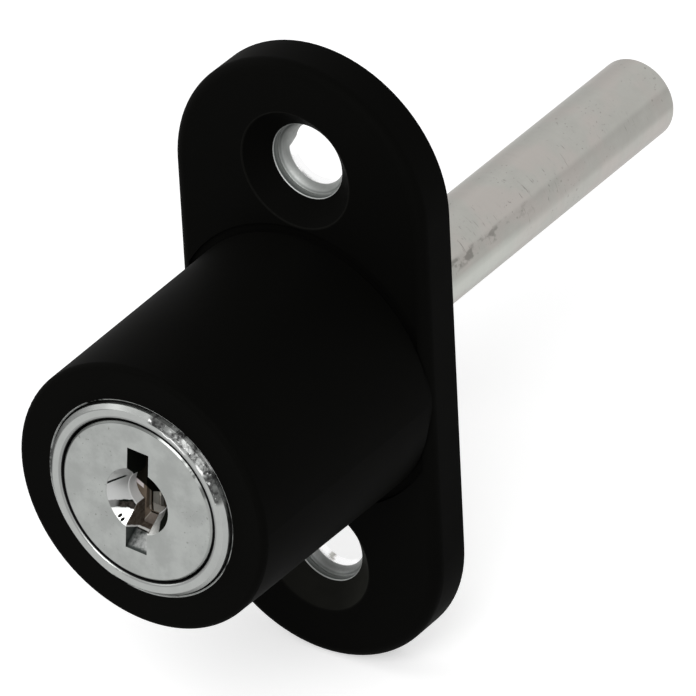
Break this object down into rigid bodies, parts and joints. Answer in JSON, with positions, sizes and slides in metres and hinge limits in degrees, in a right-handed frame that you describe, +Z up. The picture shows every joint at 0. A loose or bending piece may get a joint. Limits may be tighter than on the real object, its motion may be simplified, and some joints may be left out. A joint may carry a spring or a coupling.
{
  "type": "window lock",
  "caption": "Push-in window lock: oval flange with a round body, keyed plug in a sliding sleeve, and a long round locking pin.",
  "frame": {"origin": "on the lock's axis in the mounting face, the back of the flange, midway between the two screw holes", "axes": "+Y along the locking pin, away from the key face; +Z up the flange's long way; +X to the right as the key face is looked at from the front"},
  "size_m": [0.0228, 0.069, 0.052],
  "materials": {
    "black_casting": "satin black coating on a zinc casting",
    "plate_steel": "bare zinc-plated steel",
    "pin_steel": "bare steel",
    "sleeve_metal": "satin bright plating",
    "bolt_steel": "ground steel with light scuffs",
    "spring_steel": "spring wire",
    "plug_metal": "satin plated",
    "latch_metal": "cast zinc",
    "wafer_brass": "stamped brass"
  },
  "bodies": {
    "housing": {"housing": "black_casting", "back_plate": "plate_steel", "guide_pin": "pin_steel"},
    "plunger": {"lock_sleeve": "sleeve_metal", "plug_retaining_pin": "pin_steel", "bolt_pin": "bolt_steel", "cross_pin": "pin_steel", "return_spring": "spring_steel", "latch_spring": "spring_steel"},
    "plug": {"plug": "plug_metal", "wafer_spring_1": "spring_steel", "wafer_spring_2": "spring_steel", "wafer_spring_3": "spring_steel", "wafer_spring_4": "spring_steel", "wafer_spring_5": "spring_steel"},
    "latch": {"latch": "latch_metal"},
    "wafer_1": {"wafer_1": "wafer_brass"},
    "wafer_2": {"wafer_2": "wafer_brass"},
    "wafer_3": {"wafer_3": "wafer_brass"},
    "wafer_4": {"wafer_4": "wafer_brass"},
    "wafer_5": {"wafer_5": "wafer_brass"}
  },
  "joints": [
    {"name": "plunger_slide", "type": "slide", "parent": "housing", "child": "plunger", "axis": [0, -1, 0], "range_m": [0, 0.009], "deforming": ["return_spring"]},
    {"name": "plug_turn", "type": "hinge", "parent": "plunger", "child": "plug", "pos_m": [0, -0.0258, 0], "axis": [0, 1, 0], "range_deg": [0, 90]},
    {"name": "latch_slide", "type": "slide", "parent": "plunger", "child": "latch", "axis": [0, 0, -1], "range_m": [0, 0.0017], "deforming": ["latch_spring"]},
    {"name": "wafer_1_slide", "type": "slide", "parent": "plug", "child": "wafer_1", "axis": [-0.0872, 0, -0.9962], "range_m": [0, 0.0007], "stiffness_N_per_m": 60, "deforming": ["wafer_spring_1"]},
    {"name": "wafer_2_slide", "type": "slide", "parent": "plug", "child": "wafer_2", "axis": [-0.0872, 0, -0.9962], "range_m": [0, 0.0007], "stiffness_N_per_m": 60, "deforming": ["wafer_spring_2"]},
    {"name": "wafer_3_slide", "type": "slide", "parent": "plug", "child": "wafer_3", "axis": [-0.0872, 0, -0.9962], "range_m": [0, 0.0007], "stiffness_N_per_m": 60, "deforming": ["wafer_spring_3"]},
    {"name": "wafer_4_slide", "type": "slide", "parent": "plug", "child": "wafer_4", "axis": [-0.0872, 0, -0.9962], "range_m": [0, 0.0007], "stiffness_N_per_m": 60, "deforming": ["wafer_spring_4"]},
    {"name": "wafer_5_slide", "type": "slide", "parent": "plug", "child": "wafer_5", "axis": [-0.0872, 0, -0.9962], "range_m": [0, 0.0007], "stiffness_N_per_m": 60, "deforming": ["wafer_spring_5"]}
  ],
  "couplings": [
    {"joint": "latch_slide", "follows": "plug_turn", "m_per_rad": 0.0010804}
  ]
}
